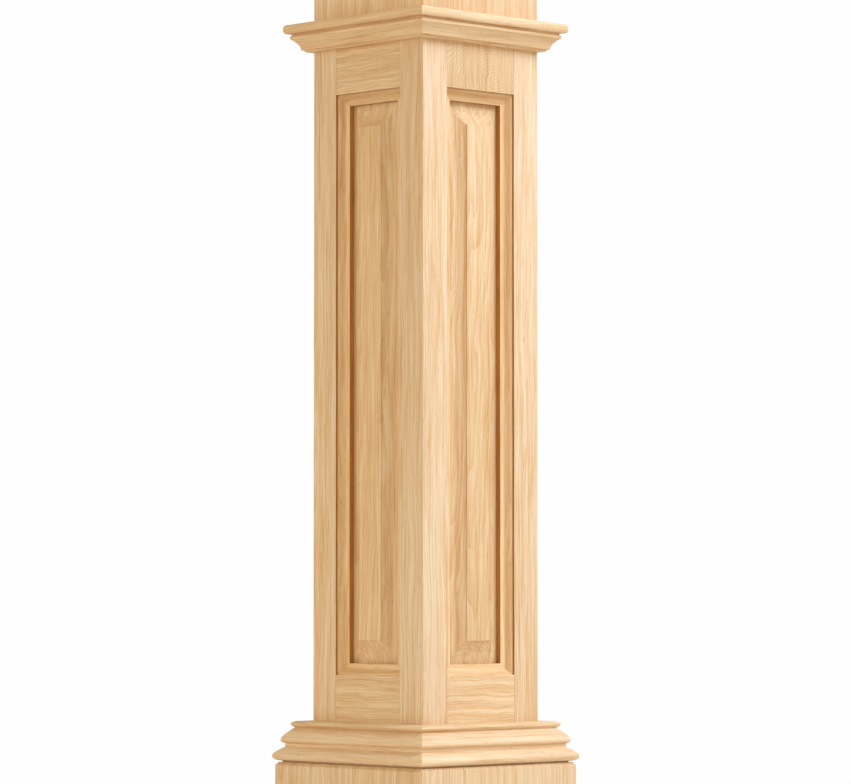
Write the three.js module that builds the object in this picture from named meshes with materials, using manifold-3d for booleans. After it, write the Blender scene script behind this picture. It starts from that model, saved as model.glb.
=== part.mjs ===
// A square box newel post for a staircase, built up from solid oak boards as a joiner makes it.
// Four framed faces, each with two stiles, two rails, a raised panel and a mitred panel mould, are
// mitred together into a hollow box. Thick plinth boards wrap its foot, a base moulding sits on
// them, a neck moulding covers the head of the shaft, and above it come a plain upper block, a
// cap moulding and a cap.
// Units are millimetres, +Z is up, and the origin is at the middle of the underside.
import * as THREE from "three";
import { mergeVertices } from "three/addons/utils/BufferGeometryUtils.js";
import Module from "manifold-3d";

const wasm = await Module();
wasm.setup();

// The glue line between two pieces, and what each end of a mitred piece loses to it.
const jointGap = 0.3;
const mitreTrim = jointGap * Math.SQRT1_2;

// The box: its outside width, the thickness of its boards and what shows of the shaft.
const shaftWidth = 158.75;
const frameThickness = 20.6;
const shaftHeight = 671.5;

// The framed faces. Stile and rail widths are what shows beside, above and below the opening.
const stileWidth = 33;
const topRailWidth = 46.1;
const bottomRailWidth = 46.6;
const rabbetDepth = 13.9;
const rabbetWidth = 8;

// The panel mould: an ogee that starts just below the face of the frame.
const panelMouldWidth = 11.4;
const panelMouldSetback = 2.4;
const panelMouldDrop = 5.8;
const panelMouldLip = 0.9;
const panelMouldSteps = 8;

// The raised panel: a field with a small shoulder, and a coved bevel down to the tongue.
const fieldSetback = 3.2;
const fieldShoulder = 0.9;
const sideBevelWidth = 19;
const endBevelWidth = 22.9;
const coveTurn = THREE.MathUtils.degToRad(42);
const coveSteps = 7;
const panelPlay = 1;

// The plinth, whose boards have a weathered top edge.
const plinthHeight = 190.5;
const plinthThickness = 27;
const plinthEdgeDrop = 3;
const plinthEdgeRun = 2.5;

// The base moulding, from its top: a thumb bead, an ogee with a round nose, a fillet and a larger
// ogee. The nose share is the height of a nose over its member's foot, as a share of the member's.
const thumbProjection = 16.2;
const thumbHeight = 6.5;
const upperNoseProjection = 23.2;
const upperWaistProjection = 13;
const upperMemberHeight = 15.7;
const upperNoseShare = 0.2;
const memberFilletHeight = 3.4;
const lowerNoseProjection = 29.2;
const lowerWaistProjection = 19.9;
const lowerMemberHeight = 14.1;
const lowerNoseShare = 0.35;
const baseFilletProjection = 21.6;
const baseFilletHeight = 0.9;
const noseCurl = 2;

// The neck moulding, from its bottom: a small bead, a cove, a bead and a round nosing.
const nosingProjection = 22.3;
const nosingHeight = 9;
const nosingRoundness = 2.2;
const neckFilletProjection = 15.9;
const neckFilletHeight = 1.9;
const coveBeadProjection = 17.4;
const coveBeadHeight = 3.9;
const coveHeight = 8.4;
const coveFootProjection = 9.6;
const coveFootHeight = 2.6;
const footBeadProjection = 6.9;
const footBeadHeight = 1.9;

// The upper block, plain, and the cap with its moulding.
const upperBlockHeight = 240.3;
const capMouldFilletHeight = 2.6;
const capProjection = 27;
const capEdgeHeight = 21;
const capEdgeRoundness = 5;
const capBevelWidth = 48;
const capBevelRise = 7;

const curveSteps = 7;

// Levels and half widths that follow from the sizes above.
const halfShaft = shaftWidth / 2;
const halfOpening = halfShaft - stileWidth;
const baseMouldingHeight =
  thumbHeight + upperMemberHeight + memberFilletHeight + lowerMemberHeight + baseFilletHeight;
const shaftFoot = plinthHeight + jointGap + baseMouldingHeight;
const shaftHead = shaftFoot + shaftHeight;
const openingFoot = shaftFoot + bottomRailWidth;
const openingHead = shaftHead - topRailWidth;
const neckHeight =
  footBeadHeight + coveFootHeight + coveHeight + coveBeadHeight + neckFilletHeight + nosingHeight;
const frameHead = shaftHead + neckHeight;
const blockFoot = frameHead + jointGap;
const blockHead = blockFoot + upperBlockHeight;
const capMouldFoot = blockHead + jointGap;
const capMouldHeight =
  footBeadHeight + coveFootHeight + coveHeight + coveBeadHeight + capMouldFilletHeight;
const capFoot = capMouldFoot + capMouldHeight + jointGap;

// The pieces of one face are made on the front one, whose plane is at y = -halfShaft.
const frontPlane = -halfShaft;

// Turns every face of a closed geometry outwards, which a mirrored placing would turn inwards.
function facingOut(geometry) {
  const open = geometry.index ? geometry.toNonIndexed() : geometry;
  const at = open.getAttribute("position");
  const [a, b, c] = [new THREE.Vector3(), new THREE.Vector3(), new THREE.Vector3()];
  let sixVolumes = 0;
  for (let i = 0; i < at.count; i += 3) {
    a.fromBufferAttribute(at, i);
    b.fromBufferAttribute(at, i + 1);
    c.fromBufferAttribute(at, i + 2);
    sixVolumes += a.dot(b.cross(c));
  }
  if (sixVolumes < 0) {
    for (let i = 0; i < at.count; i += 3) {
      b.fromBufferAttribute(at, i + 1);
      c.fromBufferAttribute(at, i + 2);
      at.setXYZ(i + 1, c.x, c.y, c.z);
      at.setXYZ(i + 2, b.x, b.y, b.z);
    }
  }
  open.computeVertexNormals();
  return open;
}

// A straight run with the section [a, b] points; place(a, b, t) says where its ends are, t = 0 and 1.
function run(section, place) {
  const shape = new THREE.Shape(section.map(([a, b]) => new THREE.Vector2(a, b)));
  const geometry = new THREE.ExtrudeGeometry(shape, { depth: 1, bevelEnabled: false });
  geometry.deleteAttribute("uv");
  const at = geometry.getAttribute("position");
  for (let i = 0; i < at.count; i++) {
    at.setXYZ(i, ...place(at.getX(i), at.getY(i), at.getZ(i)));
  }
  return facingOut(geometry);
}

// A length of moulding or board around the box, mitred at both ends. Its section is given as
// projections from the face of the shaft and heights.
const mitredAround = (section) =>
  run(section, (projection, z, t) => [
    (2 * t - 1) * (halfShaft + projection - mitreTrim),
    frontPlane - projection,
    z,
  ]);

// An upright board whose plan section is given as places across the face and depths behind it.
const upright = (section, foot, head) =>
  run(section, (x, depth, t) => [x, frontPlane + depth, THREE.MathUtils.lerp(foot, head, t)]);

const mirrored = (section) => section.map(([a, b]) => [-a, b]);

// Points on a quarter of an ellipse from start to end. It leaves start along the first axis if
// alongFirst is true, and along the second axis otherwise.
function quarterRound(start, end, alongFirst, steps = curveSteps) {
  const points = [];
  for (let i = 1; i <= steps; i++) {
    const angle = (i / steps) * (Math.PI / 2);
    const early = Math.sin(angle);
    const late = 1 - Math.cos(angle);
    const [first, second] = alongFirst ? [early, late] : [late, early];
    points.push([
      start[0] + (end[0] - start[0]) * first,
      start[1] + (end[1] - start[1]) * second,
    ]);
  }
  return points;
}

// Points on a cubic curve, without its first point.
function curved(from, leave, arrive, to, steps = curveSteps) {
  const bezier = new THREE.CubicBezierCurve(
    new THREE.Vector2(...from),
    new THREE.Vector2(...leave),
    new THREE.Vector2(...arrive),
    new THREE.Vector2(...to),
  );
  return bezier.getPoints(steps).slice(1).map((p) => [p.x, p.y]);
}

// A box between two corners, as a manifold solid.
function solidBox(low, high) {
  const box = new THREE.BoxGeometry(high[0] - low[0], high[1] - low[1], high[2] - low[2]);
  box.translate((high[0] + low[0]) / 2, (high[1] + low[1]) / 2, (high[2] + low[2]) / 2);
  box.deleteAttribute("normal");
  box.deleteAttribute("uv");
  const merged = mergeVertices(box);
  return new wasm.Manifold(
    new wasm.Mesh({
      numProp: 3,
      vertProperties: merged.getAttribute("position").array,
      triVerts: new Uint32Array(merged.index.array),
    }),
  );
}

function geometryOf(solid) {
  const { vertProperties, triVerts } = solid.getMesh();
  const geometry = new THREE.BufferGeometry();
  geometry.setAttribute("position", new THREE.BufferAttribute(vertProperties, 3));
  geometry.setIndex(new THREE.BufferAttribute(triVerts, 1));
  return facingOut(geometry);
}

// A stile: mitred at the corner of the box, with a rabbet for the panel at the back of its inner
// edge, which also takes the lapped ends of the rails.
const stileSection = [
  [halfOpening, 0],
  [halfShaft - mitreTrim, 0],
  [halfShaft - frameThickness - mitreTrim, frameThickness],
  [halfOpening + rabbetWidth, frameThickness],
  [halfOpening + rabbetWidth, rabbetDepth],
  [halfOpening, rabbetDepth],
];

// A rail between the stiles. Its ends lap behind them, and its edge at the opening has the rabbet.
function rail(foot, head, openingIsAbove) {
  const halfFront = halfOpening - jointGap;
  const halfLap = halfOpening + rabbetWidth - jointGap;
  const lapFoot = openingIsAbove ? foot : foot + rabbetWidth;
  const lapHead = openingIsAbove ? head - rabbetWidth : head;
  const back = frontPlane + frameThickness;
  const lip = solidBox(
    [-halfFront, frontPlane, foot],
    [halfFront, frontPlane + rabbetDepth, head],
  );
  const body = solidBox([-halfFront, frontPlane, lapFoot], [halfFront, back, lapHead]);
  const lap = solidBox(
    [-halfLap, frontPlane + rabbetDepth + jointGap, lapFoot],
    [halfLap, back, lapHead],
  );
  return geometryOf(lip.add(body).add(lap));
}

// The ogee of the panel mould, from the opening's edge inwards and back to where it rests.
function panelMouldSection() {
  const inner = panelMouldWidth - panelMouldLip;
  const section = [[jointGap, rabbetDepth], [jointGap, panelMouldSetback]];
  for (let i = 0; i <= panelMouldSteps; i++) {
    const share = i / panelMouldSteps;
    const across = THREE.MathUtils.lerp(jointGap + panelMouldLip, inner, share);
    const early = Math.min(1, share / 0.64);
    const fall = 0.86 * early * early * (3 - 2 * early) + 0.14 * share * share;
    section.push([across, panelMouldSetback + panelMouldDrop * fall]);
  }
  section.push([panelMouldWidth, panelMouldSetback + panelMouldDrop]);
  section.push([panelMouldWidth, rabbetDepth]);
  return section;
}

// One length of the panel mould, on the left or right (side -1 or 1) of the opening.
const uprightPanelMould = (side) =>
  run(panelMouldSection(), (inward, depth, t) => [
    side * (halfOpening - inward),
    frontPlane + depth,
    t < 0.5 ? openingFoot + inward + mitreTrim : openingHead - inward - mitreTrim,
  ]);

// One length of the panel mould along an edge of the opening; up is 1 at its foot, -1 at its head.
const levelPanelMould = (edge, up) =>
  run(panelMouldSection(), (inward, depth, t) => [
    (2 * t - 1) * (halfOpening - inward - mitreTrim),
    frontPlane + depth,
    edge + up * inward,
  ]);

// A solid through a stack of rectangles, each {x: [low, high], z: [low, high], y}.
function throughRectangles(rectangles) {
  const points = rectangles.flatMap(({ x, z, y }) => [
    [x[0], y, z[0]],
    [x[1], y, z[0]],
    [x[1], y, z[1]],
    [x[0], y, z[1]],
  ]);
  const triangles = [0, 1, 2, 0, 2, 3];
  for (let ring = 0; ring < rectangles.length - 1; ring++) {
    for (let k = 0; k < 4; k++) {
      const [a, b] = [4 * ring + k, 4 * ring + ((k + 1) % 4)];
      triangles.push(a, a + 4, b, b, a + 4, b + 4);
    }
  }
  const last = 4 * (rectangles.length - 1);
  triangles.push(last, last + 2, last + 1, last, last + 3, last + 2);
  const geometry = new THREE.BufferGeometry();
  geometry.setAttribute("position", new THREE.Float32BufferAttribute(points.flat(), 3));
  geometry.setIndex(triangles);
  return facingOut(geometry);
}

// The raised panel. Its bevel is part of a circle in section, flatter at the tongue.
function raisedPanel() {
  const tongue = rabbetWidth - panelPlay;
  const tongueDepth = rabbetDepth + jointGap;
  const coveRise = tongueDepth - fieldSetback - fieldShoulder;
  const rectangle = (inX, inZ, depth) => ({
    x: [-halfOpening + inX, halfOpening - inX],
    z: [openingFoot + inZ, openingHead - inZ],
    y: frontPlane + depth,
  });
  const stack = [
    rectangle(-tongue, -tongue, frameThickness),
    rectangle(-tongue, -tongue, tongueDepth),
  ];
  // Along an arc that turns by coveTurn, the slope runs from mean - turn / 2 to mean + turn / 2.
  const mean = Math.atan2(coveRise, sideBevelWidth);
  const leave = mean - coveTurn / 2;
  const radius = Math.hypot(coveRise, sideBevelWidth) / (2 * Math.sin(coveTurn / 2));
  for (let i = 0; i <= coveSteps; i++) {
    const slope = leave + (i / coveSteps) * coveTurn;
    const across = (radius * (Math.sin(slope) - Math.sin(leave))) / sideBevelWidth;
    const rise = radius * (Math.cos(leave) - Math.cos(slope));
    stack.push(
      rectangle(
        panelMouldWidth + across * sideBevelWidth,
        panelMouldWidth + across * endBevelWidth,
        tongueDepth - rise,
      ),
    );
  }
  stack.push(
    rectangle(
      panelMouldWidth + sideBevelWidth,
      panelMouldWidth + endBevelWidth,
      fieldSetback,
    ),
  );
  return throughRectangles(stack);
}

// A plinth board, on the floor and against the box, with its top outer edge weathered.
const plinthSection = [
  [jointGap, 0],
  [plinthThickness, 0],
  [plinthThickness, plinthHeight - plinthEdgeDrop],
  [plinthThickness - plinthEdgeRun, plinthHeight],
  [jointGap, plinthHeight],
];

// One member of the base moulding, from its waist at the top down to its round nose and back
// under it to the waist of the next member. Heights run down from the given one.
function nosedMember(waist, nose, noseShare, top, height, underWaist) {
  const foot = top - height;
  const noseHeight = foot + noseShare * height;
  return [
    [waist, top],
    ...curved(
      [waist, top],
      [waist + 0.27 * (nose - waist), top - 0.15 * height],
      [nose, noseHeight + 0.27 * height],
      [nose, noseHeight],
      curveSteps + 2,
    ),
    ...curved(
      [nose, noseHeight],
      [nose, noseHeight - 0.57 * noseShare * height],
      [nose - noseCurl, foot + 0.03 * height],
      [underWaist, foot],
    ),
  ];
}

function baseMouldingSection() {
  const top = shaftFoot;
  const underThumb = top - thumbHeight;
  const lowerTop = underThumb - upperMemberHeight - memberFilletHeight;
  const filletTop = lowerTop - lowerMemberHeight;
  const thumbFlat = thumbProjection - thumbHeight;
  const thumbNose = top - 0.5 * thumbHeight;
  const thumbRun = thumbProjection - upperWaistProjection;
  return [
    [jointGap, top],
    [thumbFlat, top],
    ...quarterRound([thumbFlat, top], [thumbProjection, thumbNose], true),
    ...curved(
      [thumbProjection, thumbNose],
      [thumbProjection, thumbNose - 0.15 * thumbHeight],
      [upperWaistProjection + 0.5 * thumbRun, underThumb + 0.2 * thumbHeight],
      [upperWaistProjection, underThumb],
      4,
    ),
    ...nosedMember(
      upperWaistProjection,
      upperNoseProjection,
      upperNoseShare,
      underThumb,
      upperMemberHeight,
      lowerWaistProjection,
    ),
    ...nosedMember(
      lowerWaistProjection,
      lowerNoseProjection,
      lowerNoseShare,
      lowerTop,
      lowerMemberHeight,
      baseFilletProjection,
    ),
    [baseFilletProjection, filletTop - baseFilletHeight],
    [jointGap, filletTop - baseFilletHeight],
  ];
}

// The foot bead, cove and bead that the neck moulding and the cap moulding share, from the bottom
// outwards and up.
function coveMembers(foot) {
  const beadTop = foot + footBeadHeight;
  const coveFoot = beadTop + coveFootHeight;
  const coveHead = coveFoot + coveHeight;
  const coveHeadProjection = coveBeadProjection - 1;
  const middle = coveHead + 0.45 * coveBeadHeight;
  return [
    [footBeadProjection - footBeadHeight, foot],
    ...quarterRound(
      [footBeadProjection - footBeadHeight, foot],
      [footBeadProjection, beadTop],
      true,
      4,
    ),
    [coveFootProjection - 1.2, beadTop + 0.1],
    ...quarterRound(
      [coveFootProjection - 1.2, beadTop + 0.1],
      [coveFootProjection, coveFoot],
      true,
      4,
    ),
    ...curved(
      [coveFootProjection, coveFoot],
      [coveFootProjection + 0.6, coveFoot + 0.32 * coveHeight],
      [coveHeadProjection - 3, coveHead - 0.24 * coveHeight],
      [coveHeadProjection, coveHead],
    ),
    ...quarterRound([coveHeadProjection, coveHead], [coveBeadProjection, middle], true, 4),
    ...quarterRound(
      [coveBeadProjection, middle],
      [neckFilletProjection, coveHead + coveBeadHeight],
      false,
      4,
    ),
  ];
}

function neckMouldingSection() {
  const nosingFoot = frameHead - nosingHeight;
  const nosingFlat = nosingProjection - nosingRoundness;
  const nosingMiddle = frameHead - nosingHeight / 2;
  return [
    [jointGap, shaftHead],
    ...coveMembers(shaftHead),
    [neckFilletProjection, nosingFoot],
    [nosingFlat, nosingFoot],
    ...quarterRound([nosingFlat, nosingFoot], [nosingProjection, nosingMiddle], true, 5),
    ...quarterRound([nosingProjection, nosingMiddle], [nosingFlat, frameHead], false, 5),
    [jointGap, frameHead],
  ];
}

// The cap moulding lies on the ends of the upper block's boards and is as deep as they are thick.
const capMouldingSection = () => [
  [-frameThickness, capMouldFoot],
  ...coveMembers(capMouldFoot),
  [neckFilletProjection, capMouldFoot + capMouldHeight],
  [-frameThickness, capMouldFoot + capMouldHeight],
];

// A board of the upper block, which stands on the head of the framed shaft.
const upperBlockSection = [
  [0, blockFoot],
  [0, blockHead],
  [-frameThickness, blockHead],
  [-frameThickness, blockFoot],
];

// The cap: a square slab with a round edge and a low bevelled top. It is turned as a four-sided
// lathe profile, whose radius is measured to its corners.
function cap() {
  const halfCap = halfShaft + capProjection;
  const flat = halfCap - capEdgeRoundness;
  const edgeMiddle = capFoot + capEdgeHeight / 2;
  const edgeHead = capFoot + capEdgeHeight;
  const profile = [
    [0, capFoot],
    [flat, capFoot],
    ...quarterRound([flat, capFoot], [halfCap, edgeMiddle], true, 5),
    ...quarterRound([halfCap, edgeMiddle], [flat, edgeHead], false, 5),
    [halfCap - capBevelWidth, edgeHead + capBevelRise],
    [0, edgeHead + capBevelRise],
  ];
  const corners = profile.map(([half, z]) => new THREE.Vector2(half * Math.SQRT2, z));
  const geometry = new THREE.LatheGeometry(corners, 4, Math.PI / 4);
  geometry.deleteAttribute("uv");
  geometry.rotateX(Math.PI / 2);
  return facingOut(geometry);
}

// Sanded, unfinished oak. Each board of a real post differs a little in colour.
const oakTones = [0xe6c08a, 0xe9c592, 0xe2ba82, 0xebc998];
let boardsCut = 0;
function oak() {
  boardsCut += 1;
  return new THREE.MeshStandardMaterial({
    color: oakTones[boardsCut % oakTones.length],
    roughness: 0.62,
    metalness: 0,
  });
}

function board(name, geometry) {
  const mesh = new THREE.Mesh(geometry, oak());
  mesh.name = name;
  return mesh;
}

// The post: four faces, each a quarter turn on from the last, and the cap.
const post = new THREE.Group();
["front", "right", "back", "left"].forEach((face, quarter) => {
  const side = new THREE.Group();
  side.rotation.z = (quarter * Math.PI) / 2;
  side.add(
    board(`${face}_right_stile`, upright(stileSection, 0, frameHead)),
    board(`${face}_left_stile`, upright(mirrored(stileSection), 0, frameHead)),
    board(`${face}_bottom_rail`, rail(0, openingFoot, true)),
    board(`${face}_top_rail`, rail(openingHead, frameHead, false)),
    board(`${face}_raised_panel`, raisedPanel()),
    board(`${face}_panel_mould_left`, uprightPanelMould(-1)),
    board(`${face}_panel_mould_right`, uprightPanelMould(1)),
    board(`${face}_panel_mould_bottom`, levelPanelMould(openingFoot + jointGap, 1)),
    board(`${face}_panel_mould_top`, levelPanelMould(openingHead - jointGap, -1)),
    board(`${face}_plinth_board`, mitredAround(plinthSection)),
    board(`${face}_base_moulding`, mitredAround(baseMouldingSection())),
    board(`${face}_neck_moulding`, mitredAround(neckMouldingSection())),
    board(`${face}_upper_block_board`, mitredAround(upperBlockSection)),
    board(`${face}_cap_moulding`, mitredAround(capMouldingSection())),
  );
  post.add(side);
});
post.add(board("cap", cap()));

export default post;
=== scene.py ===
import math
import random

import bpy
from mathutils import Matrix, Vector


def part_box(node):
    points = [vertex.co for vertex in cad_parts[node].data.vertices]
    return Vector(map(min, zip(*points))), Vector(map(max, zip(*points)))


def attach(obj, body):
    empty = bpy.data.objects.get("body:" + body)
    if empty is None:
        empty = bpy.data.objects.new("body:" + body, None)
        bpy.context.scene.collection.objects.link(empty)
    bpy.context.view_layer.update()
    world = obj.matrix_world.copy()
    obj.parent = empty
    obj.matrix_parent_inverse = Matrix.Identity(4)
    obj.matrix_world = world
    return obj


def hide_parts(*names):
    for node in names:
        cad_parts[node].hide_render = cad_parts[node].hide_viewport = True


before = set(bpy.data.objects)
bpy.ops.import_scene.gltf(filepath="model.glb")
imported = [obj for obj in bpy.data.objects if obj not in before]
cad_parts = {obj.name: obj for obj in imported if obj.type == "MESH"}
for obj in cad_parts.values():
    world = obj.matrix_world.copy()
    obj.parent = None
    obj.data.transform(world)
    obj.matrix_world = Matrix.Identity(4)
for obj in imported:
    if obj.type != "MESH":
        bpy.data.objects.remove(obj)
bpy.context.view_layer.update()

# Stiles. The upright members of each framed face are solid white oak, planed and sanded and left
# without a finish. They are mitred and glued at the corners of the post, and a rabbet along the
# inner back edge holds the panel and the lapped ends of the rails.
MM = 0.001
ACROSS, INTO, UP = Vector((1, 0, 0)), Vector((0, 1, 0)), Vector((0, 0, 1))
FACES = ("front", "right", "back", "left")

stile_low, stile_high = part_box("front_right_stile")
half_shaft = -stile_low.y
half_opening = stile_low.x
frame_head = stile_high.z
frame_thickness = stile_high.y - stile_low.y
rabbet_depth = 13.9 * MM
rabbet_width = 8 * MM
eased_edge = 0.3 * MM
timber = random.Random(7)
# A face looks a given way when its normal has at least this much of it.
facing = 0.9


def linear(hex_colour):
    """A colour written as sRGB hex, turned to the linear values that a shader takes."""
    channels = [int(hex_colour[i:i + 2], 16) / 255 for i in (1, 3, 5)]
    return [c / 12.92 if c <= 0.04045 else ((c + 0.055) / 1.055) ** 2.4 for c in channels] + [1]


def add_node(tree, kind, settings, **inputs):
    """Adds a node with its settings, and links or sets its inputs, named with _ for a space."""
    node = tree.nodes.new(kind)
    for name, value in settings.items():
        setattr(node, name, value)
    for name, value in inputs.items():
        key = int(name[1:]) if name[1:].isdigit() else name.replace("_", " ")
        if isinstance(value, bpy.types.NodeSocket):
            tree.links.new(value, node.inputs[key])
        else:
            node.inputs[key].default_value = value
    return node


def white_oak(
        name, light, dark, ring_mm=2.6, ring_depth=0.3, wave_mm=150, figure=4.0,
        shade_reach_mm=5, shade_opens=0.3):
    """Bare sanded white oak, sawn through the log. To the eye it has growth rings that show as
    lines on the edge of a board and as nested arches on its face, long soft streaks, fine fibres
    and short dark pores. The pattern is solid, in the board's own metres, so it turns corners.
    Rings are ring_mm apart, wander over wave_mm along the grain and bend more with the figure.
    In corners the colour is darkened as painted shade, where less than the share in the last argument
    is open within the reach in the one before it."""
    material = bpy.data.materials.new(name)
    material.use_nodes = True
    tree = material.node_tree
    shader = tree.nodes["Principled BSDF"]
    board_place = add_node(tree, "ShaderNodeAttribute", {"attribute_name": "board"}).outputs["Vector"]
    rings_place = add_node(tree, "ShaderNodeAttribute", {"attribute_name": "rings"}).outputs["Vector"]
    tone = add_node(tree, "ShaderNodeAttribute", {"attribute_name": "tone"}).outputs["Fac"]
    # The tone also moves each board's noise to a place of its own.
    own_tree = add_node(tree, "ShaderNodeMath", {"operation": "MULTIPLY"}, _0=tone, _1=40.0).outputs[0]

    def along_grain(place, width_mm, length_mm, detail, roughness=0.5):
        """Noise in spots of this width, three times as deep, drawn out along the grain."""
        spots = add_node(
            tree, "ShaderNodeMapping", {}, Vector=place,
            Scale=(1 / (width_mm * MM), 1 / (3 * width_mm * MM), 1 / (length_mm * MM)))
        return add_node(
            tree, "ShaderNodeTexNoise", {"noise_dimensions": "4D"}, Vector=spots.outputs[0],
            W=own_tree, Scale=1.0, Detail=detail, Roughness=roughness)

    # The log was never quite round or straight: the rings wander by several mm.
    wander = along_grain(board_place, 30, wave_mm, 2.0)
    bent_board, bent_rings = [
        add_node(
            tree, "ShaderNodeVectorMath", {"operation": "MULTIPLY_ADD"},
            _0=wander.outputs["Color"], _1=(15 * MM, 15 * MM, 0), _2=place).outputs[0]
        for place in (board_place, rings_place)]
    # The log leans a little in the board, so its rings run out along the face as long arches.
    leaning = add_node(
        tree, "ShaderNodeMapping", {}, Vector=bent_rings,
        Rotation=(math.radians(14), 0, 0), Scale=(1, 1, 0.09))
    # A ring texture of scale 1 repeats every 0.314 m.
    rings = add_node(
        tree, "ShaderNodeTexWave",
        {"wave_type": "RINGS", "rings_direction": "Z", "wave_profile": "SAW"},
        Vector=leaning.outputs[0], Scale=0.314 / (ring_mm * MM), Distortion=figure,
        Detail=2.0, Detail_Scale=0.35, Detail_Roughness=0.6)
    # The fibres and pores are several times their real width, or they wouldn't show.
    soft_streaks = along_grain(bent_board, 5, 230, 2.0, 0.6).outputs["Fac"]
    narrow_streaks = along_grain(bent_board, 2.2, 90, 2.0, 0.6).outputs["Fac"]
    fibres = along_grain(bent_board, 1.3, 34, 2.0, 0.6).outputs["Fac"]
    pores = along_grain(bent_board, 0.9, 9, 1.0).outputs["Fac"]
    # Noise keeps near its middle, so that part of it is drawn out to the whole range.
    soft, narrow, fine = [
        add_node(tree, "ShaderNodeMapRange", {}, Value=noise, From_Min=0.3, From_Max=0.7).outputs[0]
        for noise in (soft_streaks, narrow_streaks, fibres)]

    # The early wood of a ring is a porous band, which starts sharply and fades outwards.
    early_wood = add_node(
        tree, "ShaderNodeMath", {"operation": "POWER"}, _0=rings.outputs["Fac"], _1=2.2)
    breaks = add_node(
        tree, "ShaderNodeMapRange", {}, Value=fibres, From_Min=0.3, From_Max=0.6, To_Min=0.45)
    broken_band = add_node(
        tree, "ShaderNodeMath", {"operation": "MULTIPLY"},
        _0=early_wood.outputs[0], _1=breaks.outputs[0])
    streaked = add_node(
        tree, "ShaderNodeMix", {"data_type": "FLOAT"}, Factor=0.5, _2=narrow, _3=soft)
    with_fibres = add_node(
        tree, "ShaderNodeMix", {"data_type": "FLOAT"}, Factor=0.3, _2=streaked.outputs[0], _3=fine)
    with_rings = add_node(
        tree, "ShaderNodeMath", {"operation": "MULTIPLY_ADD", "use_clamp": True},
        _0=broken_band.outputs[0], _1=-ring_depth, _2=with_fibres.outputs[0])
    paleness = add_node(
        tree, "ShaderNodeMapRange", {}, Value=with_rings.outputs[0], From_Min=0.05, From_Max=0.7)
    wood = add_node(
        tree, "ShaderNodeMix", {"data_type": "RGBA"}, Factor=paleness.outputs[0],
        _6=linear(dark), _7=linear(light))
    # Each board has its own tone, up to 3% lighter or darker than the last.
    own_value = add_node(
        tree, "ShaderNodeMath", {"operation": "MULTIPLY_ADD"}, _0=tone, _1=0.03, _2=1.0)
    toned = add_node(
        tree, "ShaderNodeHueSaturation", {}, Color=wood.outputs[2], Value=own_value.outputs[0])
    open_pores = add_node(
        tree, "ShaderNodeMapRange", {}, Value=pores, From_Min=0.64, From_Max=0.78, To_Max=0.38)
    pored = add_node(
        tree, "ShaderNodeMix", {"data_type": "RGBA"}, Factor=open_pores.outputs[0],
        _6=toned.outputs[0], _7=linear("#9A6532"))
    # Here and there a ray of the log lies in the surface as a short pale fleck.
    rays = add_node(
        tree, "ShaderNodeMapRange", {}, Value=pores, From_Min=0.34, From_Max=0.2, To_Max=0.5)
    flecked = add_node(
        tree, "ShaderNodeMix", {"data_type": "RGBA"}, Factor=rays.outputs[0],
        _6=pored.outputs[2], _7=linear("#F0DBB8"))
    # Painted shade: the marked faces, at edges that face into the openings and on the walls and steep
    # slopes of the moulds, are darkened towards a deep orange.
    painted_shade = add_node(tree, "ShaderNodeAttribute", {"attribute_name": "painted_shade"}).outputs["Fac"]
    painted_edge_shade = add_node(
        tree, "ShaderNodeMix", {"data_type": "RGBA", "blend_type": "MULTIPLY"},
        Factor=painted_shade, _6=flecked.outputs[2], _7=linear("#C1A168"))
    # Painted shade: ambient occlusion darkens the colour in corners, creases and under overhangs.
    corners = add_node(
        tree, "ShaderNodeAmbientOcclusion", {"samples": 8}, Distance=shade_reach_mm * MM)
    corner_shade_amount = add_node(
        tree, "ShaderNodeMapRange", {}, Value=corners.outputs["AO"],
        From_Min=0.08, From_Max=shade_opens, To_Min=0.5, To_Max=0.0)
    painted_corner_shade = add_node(
        tree, "ShaderNodeMix", {"data_type": "RGBA", "blend_type": "MULTIPLY"},
        Factor=corner_shade_amount.outputs[0], _6=painted_edge_shade.outputs[2], _7=linear("#C39A66"))
    tree.links.new(painted_corner_shade.outputs[2], shader.inputs["Base Color"])

    # Sanded oak without a finish is matt, and its pores are sunk in it.
    matt = add_node(tree, "ShaderNodeMapRange", {}, Value=fibres, To_Min=0.68, To_Max=0.5)
    tree.links.new(matt.outputs[0], shader.inputs["Roughness"])
    shader.inputs["IOR"].default_value = 1.47
    sunk = add_node(
        tree, "ShaderNodeMath", {"operation": "MULTIPLY_ADD"},
        _0=open_pores.outputs[0], _1=-1.2, _2=fibres)
    relief = add_node(
        tree, "ShaderNodeBump", {}, Height=sunk.outputs[0], Strength=0.5, Distance=0.08 * MM)
    tree.links.new(relief.outputs[0], shader.inputs["Normal"])
    return material


def draw_section(points):
    """Draws the section of a length of wood in edit mode, from one vertex, and fills it."""
    bpy.ops.object.select_all(action="DESELECT")
    bpy.ops.mesh.primitive_plane_add(size=MM, location=points[0])
    bpy.ops.object.transform_apply(location=True)
    bpy.ops.object.mode_set(mode="EDIT")
    bpy.ops.mesh.merge(type="CENTER")
    for last, point in zip(points, points[1:]):
        bpy.ops.mesh.extrude_vertices_move(TRANSFORM_OT_translate={"value": point - last})
    bpy.ops.mesh.select_all(action="SELECT")
    bpy.ops.mesh.edge_face_add()


def draw_out(run):
    """Draws the filled section out into a length of wood, or the selected end further out."""
    bpy.ops.mesh.extrude_region_move(TRANSFORM_OT_translate={"value": run})


def saw(point, waste_side):
    """Cuts the whole piece through the point and takes away what lies on the waste side."""
    bpy.ops.mesh.select_all(action="SELECT")
    bpy.ops.mesh.bisect(
        plane_co=point, plane_no=waste_side, use_fill=True, clear_inner=False, clear_outer=True)


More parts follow.
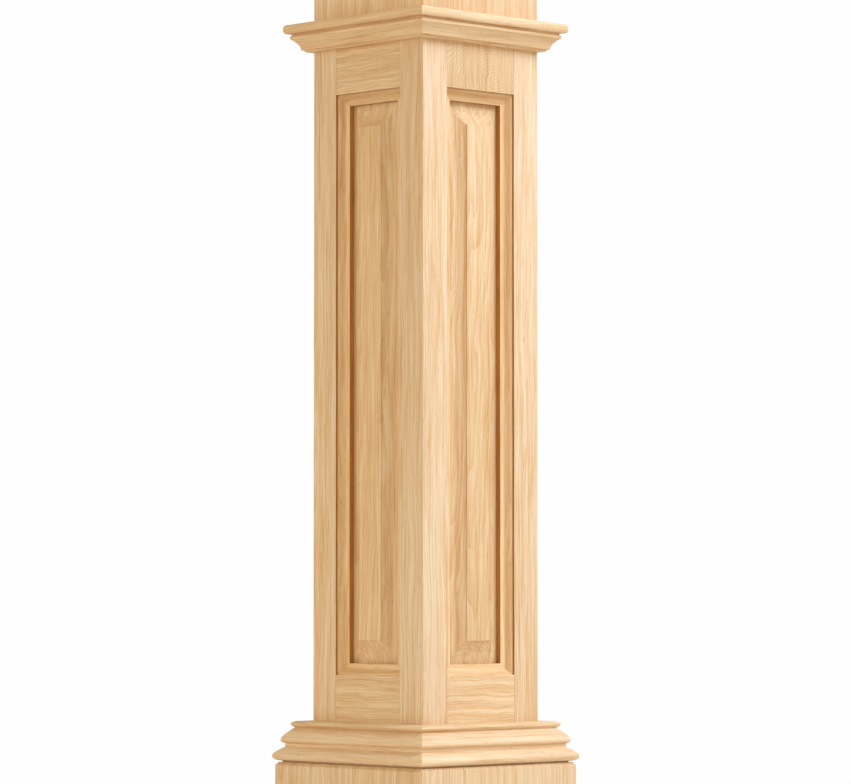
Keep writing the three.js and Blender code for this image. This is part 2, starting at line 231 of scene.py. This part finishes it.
def sand(eased=0.0):
    """Leaves edit mode, eases the sharp edges and smooths what is moulded or round."""
    bpy.ops.mesh.select_all(action="SELECT")
    bpy.ops.mesh.remove_doubles(threshold=0.001 * MM)
    bpy.ops.mesh.normals_make_consistent(inside=False)
    bpy.ops.object.mode_set(mode="OBJECT")
    piece = bpy.context.object
    if eased:
        ease = piece.modifiers.new("eased edges", "BEVEL")
        ease.width = eased
        ease.segments = 2
        ease.limit_method = "ANGLE"
        ease.angle_limit = math.radians(40)
        bpy.ops.object.modifier_apply(modifier=ease.name)
    bpy.ops.object.shade_smooth_by_angle(angle=math.radians(32))
    return piece


def lay_grain(piece, across, into, along, heart, branch=None):
    """Gives every point its place in the log that the board was cut from, in metres from the
    heart. The heart lies so far to one side and so far behind the face. Where a branch leaves
    the log at a place across and along the face, the rings close round it as ovals."""
    beside, behind = heart
    side_play, depth_play, half_log = 12 * MM, 8 * MM, 1.5
    oval_width, oval_height = 0.55, 0.9
    cut_from = Vector((
        beside + timber.uniform(-side_play, side_play),
        behind + timber.uniform(-depth_play, depth_play),
        timber.uniform(-half_log, half_log)))
    tone = timber.uniform(-1, 1)
    corners = [vertex.co for vertex in piece.data.vertices]
    face_depth = min(corner.dot(into) for corner in corners)
    piece.data.attributes.new("board", "FLOAT_VECTOR", "POINT")
    piece.data.attributes.new("rings", "FLOAT_VECTOR", "POINT")
    piece.data.attributes.new("tone", "FLOAT", "POINT")
    board = piece.data.attributes["board"].data
    rings = piece.data.attributes["rings"].data
    tones = piece.data.attributes["tone"].data
    for corner, place, ring, shade in zip(corners, board, rings, tones):
        at = Vector((corner.dot(across), face_depth - corner.dot(into), corner.dot(along)))
        place.vector = at + cut_from
        ring.vector = at + cut_from
        if branch:
            branch_across, branch_along = branch
            ring.vector = (
                oval_width * (at.x - branch_across),
                at.y + oval_height * (at.z - branch_along),
                0)
        shade.value = tone


def paint_shade(model, wanted):
    """Marks faces for painted shade, to the share that a test gives for centre and normal."""
    model.data.attributes.new("painted_shade", "FLOAT", "FACE")
    for face, mark in zip(model.data.polygons, model.data.attributes["painted_shade"].data):
        mark.value = wanted(face.center, face.normal)


def fix_to_all_faces(
        model, part, material, across=ACROSS, along=UP, heart=(0.09, 0.05), turned=()):
    """Copies a piece of the front face to all four faces, each with its own mesh and grain. On
    a turned face the grain runs the other way, past a branch at a place on the face."""
    for quarter, face in enumerate(FACES):
        bpy.ops.object.select_all(action="DESELECT")
        model.select_set(True)
        bpy.context.view_layer.objects.active = model
        bpy.ops.object.duplicate(linked=False)
        piece = bpy.context.object
        piece.name = f"{face}_{part}_oak"
        piece.data.name = piece.name
        if face in turned:
            lay_grain(piece, along, INTO, across, heart, turned[face])
        else:
            lay_grain(piece, across, INTO, along, heart)
        piece.rotation_euler.z = quarter * math.pi / 2
        bpy.ops.object.transform_apply(rotation=True)
        piece.data.materials.append(material)
        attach(piece, "root")
        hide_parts(f"{face}_{part}")
    bpy.data.objects.remove(model)


stile_oak = white_oak("white_oak_stile", "#EACCA2", "#CF9A57", ring_mm=3.2, ring_depth=0.22)
for side, part in ((1, "right_stile"), (-1, "left_stile")):
    # The section runs a little past the corner of the post, and the mitre is sawn from it.
    plan = [
        (half_opening, 0),
        (half_shaft + eased_edge, 0),
        (half_shaft + eased_edge, frame_thickness),
        (half_opening + rabbet_width, frame_thickness),
        (half_opening + rabbet_width, rabbet_depth),
        (half_opening, rabbet_depth),
    ]
    draw_section([Vector((side * x, depth - half_shaft, 0)) for x, depth in plan])
    draw_out(UP * frame_head)
    saw((0, 0, 0), (side, 1, 0))
    stile = sand(eased_edge)
    # Painted shade on the stile's edge that faces into the opening.
    paint_shade(stile, lambda centre, normal: normal.x * side < -facing)
    fix_to_all_faces(stile, part, stile_oak)

# Rails. The level members are of the same oak, with the grain running across the post, and lap
# behind the stiles. They go down to the floor behind the plinth, and up behind the neck moulding.
# One short top rail is cut with its grain upright, beside the foot of a branch.
rail_oak = white_oak("white_oak_rail", "#E7C594", "#CA9454", ring_mm=2.6, wave_mm=70)
opening_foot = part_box("front_bottom_rail")[1].z
opening_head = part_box("front_top_rail")[0].z
branch_foot = (35 * MM, opening_head + 18 * MM)


def select_faces(wanted):
    """Selects in edit mode the faces that the test picks by their centre and normal."""
    bpy.ops.mesh.select_all(action="DESELECT")
    bpy.ops.object.mode_set(mode="OBJECT")
    for face in bpy.context.object.data.polygons:
        face.select = wanted(face.center, face.normal)
    bpy.ops.object.mode_set(mode="EDIT")


for part, foot, head, edge_side, upright_on in (
    ("bottom_rail", 0, opening_foot, -1, {}),
    ("top_rail", frame_head, opening_head, 1, {"right": branch_foot}),
):
    back_head = head + edge_side * rabbet_width
    end = [
        (0, foot), (0, head), (rabbet_depth, head), (rabbet_depth, back_head),
        (frame_thickness, back_head), (frame_thickness, foot),
    ]
    draw_section([Vector((-half_opening, depth - half_shaft, z)) for depth, z in end])
    draw_out(ACROSS * 2 * half_opening)
    bpy.ops.mesh.select_all(action="SELECT")
    bpy.ops.mesh.normals_make_consistent(inside=False)
    shoulder = rabbet_depth - half_shaft
    bpy.ops.mesh.bisect(plane_co=(0, shoulder, 0), plane_no=(0, 1, 0))
    for side in (-1, 1):
        select_faces(lambda centre, normal: normal.x * side > facing and centre.y > shoulder)
        draw_out(ACROSS * side * rabbet_width)
    rail = sand(eased_edge)
    # Painted shade on the rail's faces that look down, such as its edge over the opening.
    paint_shade(rail, lambda centre, normal: normal.z < -facing)
    fix_to_all_faces(rail, part, rail_oak, UP, ACROSS, (0.02, 0.05), upright_on)

# Raised panels. Each is one wide oak board, loose in the rabbets so that it can shrink and swell.
# A panel cutter has run a cove along all four edges, which leaves a flat field with a small
# shoulder, and the end bevels show the rings of the board as curls.
panel_low, panel_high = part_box("front_raised_panel")
panel_play = 0.3 * MM
tongue_face = rabbet_depth + panel_play - half_shaft
panel_mould_width = 11.4 * MM
side_bevel_width = 19 * MM
end_bevel_width = 22.9 * MM
field_shoulder = 0.9 * MM
panel_eased_edge = 0.2 * MM
cove_turn = math.radians(42)
cove_steps = 16


def add_blank(low, high):
    """Adds a squared blank between two corners and goes into edit mode."""
    bpy.ops.object.select_all(action="DESELECT")
    bpy.ops.mesh.primitive_cube_add(size=1, location=(low + high) / 2, scale=high - low)
    bpy.ops.object.transform_apply(location=True, scale=True)
    bpy.ops.object.mode_set(mode="EDIT")


def step_up(rise, resize, centre):
    """Raises the selected face by one step and resizes it about the centre."""
    draw_out(rise)
    bpy.ops.transform.resize(value=resize, center_override=centre)


panel_oak = white_oak("white_oak_panel", "#E6C391", "#CB9451", ring_mm=2.3, ring_depth=0.28, figure=0.7)
add_blank(Vector((panel_low.x, tongue_face, panel_low.z)), panel_high)
select_faces(lambda centre, normal: normal.y < -facing)
bpy.ops.mesh.inset(thickness=panel_high.x - half_opening + panel_mould_width)

cove_rise = tongue_face - field_shoulder - panel_low.y
mean_slope = math.atan2(cove_rise, side_bevel_width)
first_slope = mean_slope - cove_turn / 2
radius = math.hypot(cove_rise, side_bevel_width) / (2 * math.sin(cove_turn / 2))
half_width = half_opening - panel_mould_width
half_height = (opening_head - opening_foot) / 2 - panel_mould_width
panel_middle = (opening_head + opening_foot) / 2
for step in range(cove_steps):
    slope = first_slope + cove_turn * step / cove_steps
    next_slope = first_slope + cove_turn * (step + 1) / cove_steps
    inward = radius * (math.sin(next_slope) - math.sin(slope))
    rise = radius * (math.cos(slope) - math.cos(next_slope))
    next_width = half_width - inward
    next_height = half_height - inward * end_bevel_width / side_bevel_width
    step_up(
        -INTO * rise,
        (next_width / half_width, 1, next_height / half_height),
        (0, 0, panel_middle))
    half_width, half_height = next_width, next_height
draw_out(-INTO * field_shoulder)
panel = sand(panel_eased_edge)
fix_to_all_faces(panel, "raised_panel", panel_oak, heart=(0.01, 0.06))

# Panel moulds. A small stuck ogee in oak is mitred round each opening and pinned to the frame,
# just below its face. It holds the panel in without being glued to it.
mould_oak = white_oak("white_oak_mould", "#F0CA94", "#D19855", ring_depth=0.2)
mould_setback = 2.4 * MM
mould_drop = 5.8 * MM
mould_lip = 0.9 * MM
ogee_steps = 18
# The steep part of the ogee lies next to the frame, and the rest is nearly flat.
steep_run, steep_drop = 0.64, 0.86
mould_foot = mould_setback + mould_drop - half_shaft

ogee = [(0, rabbet_depth), (0, mould_setback)]
for step in range(ogee_steps + 1):
    share = step / ogee_steps
    across_lip = mould_lip + share * (panel_mould_width - 2 * mould_lip)
    early = min(1, share / steep_run)
    sunk_share = steep_drop * early * early * (3 - 2 * early) + (1 - steep_drop) * share * share
    ogee.append((across_lip, mould_setback + mould_drop * sunk_share))
ogee += [(panel_mould_width, mould_setback + mould_drop), (panel_mould_width, rabbet_depth)]


def shade_share(depth, steepness):
    """Painted shade: full on the inner wall down to the panel, and partial on the steep part of the
    ogee, growing with its steepness.
    """
    if depth > mould_foot and steepness > facing:
        return 1
    return 0.5 * max(0, steepness - 0.3)


for side, part in ((-1, "panel_mould_left"), (1, "panel_mould_right")):
    draw_section([
        Vector((side * (half_opening - inward), depth - half_shaft, opening_foot))
        for inward, depth in ogee])
    draw_out(UP * (opening_head - opening_foot))
    saw((side * half_opening, 0, opening_foot), (-side, 0, -1))
    saw((side * half_opening, 0, opening_head), (-side, 0, 1))
    mould = sand()
    paint_shade(mould, lambda centre, normal: shade_share(centre.y, -side * normal.x))
    fix_to_all_faces(mould, part, mould_oak)
# The top mould faces down, and gets at least this share of painted shade all over.
for edge, up, part, least_shade in (
    (opening_foot, 1, "panel_mould_bottom", 0),
    (opening_head, -1, "panel_mould_top", 0.35),
):
    draw_section([
        Vector((-half_opening, depth - half_shaft, edge + up * inward))
        for inward, depth in ogee])
    draw_out(ACROSS * 2 * half_opening)
    saw((-half_opening, 0, edge), (-1, 0, up))
    saw((half_opening, 0, edge), (1, 0, up))
    mould = sand()
    paint_shade(
        mould,
        lambda centre, normal: max(least_shade, shade_share(centre.y, up * normal.z)))
    fix_to_all_faces(mould, part, mould_oak, UP, ACROSS)

# Plinth. Four thick oak boards with upright grain are mitred and glued round the foot of the
# shaft and stand on the floor. Their top outer edge is planed to a slight fall.
plinth_oak = white_oak("white_oak_plinth", "#E7C89B", "#CB9759")
plinth_low, plinth_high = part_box("front_plinth_board")
plinth_face = -plinth_low.y
plinth_head = plinth_high.z
plinth_edge_drop = 3 * MM
plinth_edge_run = 2.5 * MM


def run_round_post(section):
    """Draws out a section of (projection from the shaft, height) and mitres it at both ends."""
    reach = half_shaft + max(projection for projection, height in section) + MM
    draw_section([Vector((-reach, -half_shaft - projection, height)) for projection, height in section])
    draw_out(ACROSS * 2 * reach)
    saw((0, 0, 0), (1, 1, 0))
    saw((0, 0, 0), (-1, 1, 0))


plinth_projection = plinth_face - half_shaft
run_round_post([
    (0, 0),
    (plinth_projection, 0),
    (plinth_projection, plinth_head - plinth_edge_drop),
    (plinth_projection - plinth_edge_run, plinth_head),
    (0, plinth_head),
])
fix_to_all_faces(sand(eased_edge), "plinth_board", plinth_oak)

# Base moulding. A deep run of oak stands on the plinth and is mitred and pinned to the shaft. It
# has a thumb bead on top, then two ogees with round noses and a fillet between them.
base_oak = white_oak(
    "white_oak_base_moulding", "#E7C799", "#CE9C60", ring_depth=0.15, shade_reach_mm=2, shade_opens=0.8)
shaft_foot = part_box("front_base_moulding")[1].z
thumb_projection, thumb_height = 16.2 * MM, 6.5 * MM
upper_waist, upper_nose, upper_height = 13 * MM, 23.2 * MM, 15.7 * MM
upper_nose_share, lower_nose_share = 0.2, 0.35
member_fillet = 3.4 * MM
lower_waist, lower_nose, lower_height = 19.9 * MM, 29.2 * MM, 14.1 * MM
base_fillet = 21.6 * MM
nose_curl = 2 * MM
round_steps = 12
thumb_steps = 8


def quarter_round(start, end, along_first, steps=round_steps):
    """Points on a quarter of an ellipse that leaves start along its first or second axis."""
    points = []
    for step in range(1, steps + 1):
        angle = math.pi / 2 * step / steps
        early, late = math.sin(angle), 1 - math.cos(angle)
        first, second = (early, late) if along_first else (late, early)
        points.append((start[0] + (end[0] - start[0]) * first, start[1] + (end[1] - start[1]) * second))
    return points


def sweep(start, leave, arrive, end, steps=round_steps):
    """Points on a cubic curve, without its first point."""
    points = []
    for step in range(1, steps + 1):
        t = step / steps
        weights = ((1 - t) ** 3, 3 * t * (1 - t) ** 2, 3 * t * t * (1 - t), t ** 3)
        ends = (start, leave, arrive, end)
        points.append(tuple(sum(w * p[axis] for w, p in zip(weights, ends)) for axis in (0, 1)))
    return points


def nosed_member(waist, nose, nose_share, top, height, under_waist):
    """A member that runs out from its waist to a round nose and back in under it. The handles of
    its two curves are shares of its run and height."""
    foot = top - height
    nose_height = foot + nose_share * height
    out = sweep(
        (waist, top),
        (waist + 0.27 * (nose - waist), top - 0.15 * height),
        (nose, nose_height + 0.27 * height),
        (nose, nose_height), round_steps + 4)
    back = sweep(
        (nose, nose_height),
        (nose, nose_height - 0.57 * nose_share * height),
        (nose - nose_curl, foot + 0.03 * height),
        (under_waist, foot))
    return [(waist, top)] + out + back


thumb_flat = thumb_projection - thumb_height
thumb_nose = (thumb_projection, shaft_foot - 0.5 * thumb_height)
thumb_foot = shaft_foot - thumb_height
thumb_run = thumb_projection - upper_waist
lower_top = thumb_foot - upper_height - member_fillet
# The handles of the thumb bead's curve are shares of its run and height too.
run_round_post([
    (0, shaft_foot),
    (thumb_flat, shaft_foot),
    *quarter_round((thumb_flat, shaft_foot), thumb_nose, True),
    *sweep(
        thumb_nose,
        (thumb_projection, thumb_nose[1] - 0.15 * thumb_height),
        (upper_waist + 0.5 * thumb_run, thumb_foot + 0.2 * thumb_height),
        (upper_waist, thumb_foot), thumb_steps),
    *nosed_member(upper_waist, upper_nose, upper_nose_share, thumb_foot, upper_height, lower_waist),
    *nosed_member(lower_waist, lower_nose, lower_nose_share, lower_top, lower_height, base_fillet),
    (base_fillet, plinth_head),
    (0, plinth_head),
])
fix_to_all_faces(sand(), "base_moulding", base_oak, UP, ACROSS)

# Neck moulding. Mitred oak lengths are pinned round the head of the framed shaft: a small bead
# at the foot, a cove under a bead, and a square nosing with a rounded edge.
neck_oak = white_oak(
    "white_oak_neck_moulding", "#E9C695", "#CF9B5B", ring_depth=0.15, shade_reach_mm=2, shade_opens=0.9)
shaft_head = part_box("front_neck_moulding")[0].z
nosing_projection, nosing_height, nosing_roundness = 22.3 * MM, 9 * MM, 2.2 * MM
neck_fillet = 15.9 * MM
cove_bead_projection, cove_bead_height = 17.4 * MM, 3.9 * MM
cove_height = 8.4 * MM
cove_foot_projection, cove_foot_height = 9.6 * MM, 2.6 * MM
foot_bead_projection, foot_bead_height = 6.9 * MM, 1.9 * MM
cove_step, cove_lip, quirk_height = 1.2 * MM, 1 * MM, 0.1 * MM
bead_nose_share = 0.45
# The cove's curve starts nearly upright, and its other handle lies further in.
cove_leave_run, cove_leave_share = 0.6 * MM, 0.32
cove_arrive_run, cove_arrive_share = 3 * MM, 0.24
foot_bead_steps, bead_steps, nosing_steps = 8, 6, 10


def cove_members(foot):
    """The foot bead, cove and bead, from the bottom outwards and up."""
    bead_top = foot + foot_bead_height
    cove_foot = bead_top + cove_foot_height
    cove_head = cove_foot + cove_height
    bead_flat = (foot_bead_projection - foot_bead_height, foot)
    step_in = (cove_foot_projection - cove_step, bead_top + quirk_height)
    cove_start = (cove_foot_projection, cove_foot)
    cove_end = (cove_bead_projection - cove_lip, cove_head)
    bead_nose = (cove_bead_projection, cove_head + bead_nose_share * cove_bead_height)
    bead_head = (neck_fillet, cove_head + cove_bead_height)
    leave = (cove_foot_projection + cove_leave_run, cove_foot + cove_leave_share * cove_height)
    arrive = (cove_end[0] - cove_arrive_run, cove_head - cove_arrive_share * cove_height)
    return [
        bead_flat,
        *quarter_round(bead_flat, (foot_bead_projection, bead_top), True, foot_bead_steps),
        step_in,
        *quarter_round(step_in, cove_start, True, bead_steps),
        *sweep(cove_start, leave, arrive, cove_end),
        *quarter_round(cove_end, bead_nose, True, bead_steps),
        *quarter_round(bead_nose, bead_head, False, bead_steps),
    ]


nosing_foot = frame_head - nosing_height
nosing_flat = nosing_projection - nosing_roundness
nosing_nose = (nosing_projection, frame_head - nosing_height / 2)
run_round_post([
    (0, shaft_head),
    *cove_members(shaft_head),
    (neck_fillet, nosing_foot),
    (nosing_flat, nosing_foot),
    *quarter_round((nosing_flat, nosing_foot), nosing_nose, True, nosing_steps),
    *quarter_round(nosing_nose, (nosing_flat, frame_head), False, nosing_steps),
    (0, frame_head),
])
fix_to_all_faces(sand(), "neck_moulding", neck_oak, UP, ACROSS)

# Upper block. Four plain oak boards, mitred into a box with the shaft's outline, stand on the
# head of the frame. A handrail is screwed to them.
block_oak = white_oak("white_oak_block", "#EFD3A9", "#D5A362")
block_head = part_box("front_upper_block_board")[1].z
run_round_post([
    (0, frame_head), (0, block_head), (-frame_thickness, block_head), (-frame_thickness, frame_head),
])
fix_to_all_faces(sand(eased_edge), "upper_block_board", block_oak)

# Cap moulding. The same cove as the neck, without its nosing, is mitred on the ends of the
# block's boards, under the cap.
cap_mould_foot = block_head
cap_mould_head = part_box("cap")[0].z
run_round_post([
    (-frame_thickness, cap_mould_foot),
    *cove_members(cap_mould_foot),
    (neck_fillet, cap_mould_head),
    (-frame_thickness, cap_mould_head),
])
fix_to_all_faces(sand(), "cap_moulding", neck_oak, UP, ACROSS)

# Cap. One solid oak slab with a rounded edge is glued on top, and its top falls a little towards
# the edges all round.
cap_oak = white_oak("white_oak_cap", "#E9C694", "#C99A60", ring_mm=2.4)
cap_low, cap_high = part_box("cap")
cap_edge_height = 21 * MM
cap_edge_roundness = 5 * MM
cap_bevel_width = 48 * MM
cap_blank_height = 0.01 * MM
edge_steps = 12

half_cap = cap_high.x - cap_edge_roundness
add_blank(
    Vector((-half_cap, -half_cap, cap_low.z)),
    Vector((half_cap, half_cap, cap_low.z + cap_blank_height)))
select_faces(lambda centre, normal: normal.z > facing)
edge_start = (half_cap, cap_low.z + cap_blank_height)
edge_middle = (cap_high.x, cap_low.z + cap_edge_height / 2)
edge_end = (half_cap, cap_low.z + cap_edge_height)
edge = quarter_round(edge_start, edge_middle, True, edge_steps)
edge += quarter_round(edge_middle, edge_end, False, edge_steps)
edge.append((cap_high.x - cap_bevel_width, cap_high.z))
half, height = edge_start
for next_half, next_height in edge:
    step_up(UP * (next_height - height), (next_half / half, next_half / half, 1), (0, 0, 0))
    half, height = next_half, next_height
cap = sand()
cap.name = "cap_oak_slab"
cap.data.name = cap.name
lay_grain(cap, INTO, -UP, ACROSS, (0.01, 0.07))
cap.data.materials.append(cap_oak)
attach(cap, "root")
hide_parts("cap")

# Studio. The floor is a plain pale board, the air round it is white, and one large soft lamp
# stands to the right of the post, above it. Two weaker ones fill its shadows, one by the camera
# and one on the left.
floor_size = 3.0
bpy.ops.object.select_all(action="DESELECT")
bpy.ops.mesh.primitive_plane_add(size=floor_size, location=(0, 0, 0))
floor = bpy.context.object
floor.name = "studio_floor"
pale = bpy.data.materials.new("pale_floor_paint")
pale.use_nodes = True
on_floor = add_node(pale.node_tree, "ShaderNodeTexCoord", {}).outputs["Object"]
grit = add_node(
    pale.node_tree, "ShaderNodeTexNoise", {}, Vector=on_floor, Scale=60.0, Detail=4.0)
painted = add_node(
    pale.node_tree, "ShaderNodeMix", {"data_type": "RGBA"}, Factor=grit.outputs["Fac"],
    _6=linear("#E6E2DA"), _7=linear("#ECE8E1"))
pale_shader = pale.node_tree.nodes["Principled BSDF"]
pale_shader.inputs["Roughness"].default_value = 0.7
pale.node_tree.links.new(painted.outputs[2], pale_shader.inputs["Base Color"])
floor.data.materials.append(pale)

scene = bpy.context.scene
scene.view_settings.view_transform = "Standard"
studio = bpy.data.worlds.new("white_studio")
studio.use_nodes = True
surround = add_node(
    studio.node_tree, "ShaderNodeBackground", {}, Color=linear("#FFFBF1"), Strength=0.585)
backdrop = add_node(
    studio.node_tree, "ShaderNodeBackground", {}, Color=linear("#FEFEFE"), Strength=1.0)
seen = add_node(studio.node_tree, "ShaderNodeLightPath", {}).outputs["Is Camera Ray"]
lit = add_node(
    studio.node_tree, "ShaderNodeMixShader", {}, _0=seen,
    _1=surround.outputs[0], _2=backdrop.outputs[0])
studio.node_tree.links.new(lit.outputs[0], studio.node_tree.nodes["World Output"].inputs[0])
scene.world = studio


def soft_lamp(name, size, power, colour, place, aim):
    """A square lamp at a place, turned to the point that it lights."""
    bpy.ops.object.light_add(type="AREA", location=place)
    lamp = bpy.context.object
    lamp.name = name
    lamp.data.size = size
    lamp.data.energy = power
    lamp.data.color = linear(colour)[:3]
    lamp.rotation_euler = (Vector(aim) - Vector(place)).to_track_quat("-Z", "Y").to_euler()


soft_lamp("key_lamp", 3.0, 268, "#C9DAFB", (2.8, 1.43, 3.64), (0, 0, 0.6))
soft_lamp("front_fill_lamp", 1.6, 17, "#FFF8EC", (2.6, -2.6, 0.8), (0, 0, 0.4))
soft_lamp("left_fill_lamp", 2.0, 35, "#FFF6E6", (-2.6, -2.8, 1.0), (0, 0, 0.1))

# Camera. It looks at the corner between the front and the right faces through a long lens, and
# is tilted up a little, as the post's ends are outside the photograph.
camera_azimuth = math.radians(46.343)
camera_tilt = math.radians(2.637)
camera_distance = 4.0029
camera_height = 0.37605
camera_lens_mm = 169
camera_sensor_mm = 36
bpy.ops.object.camera_add(
    location=(
        math.sin(camera_azimuth) * camera_distance,
        -math.cos(camera_azimuth) * camera_distance,
        camera_height),
    rotation=(math.pi / 2 + camera_tilt, 0, camera_azimuth))
camera = bpy.context.object
camera.name = "photographer"
camera.data.sensor_width = camera_sensor_mm
camera.data.lens = camera_lens_mm
scene.camera = camera
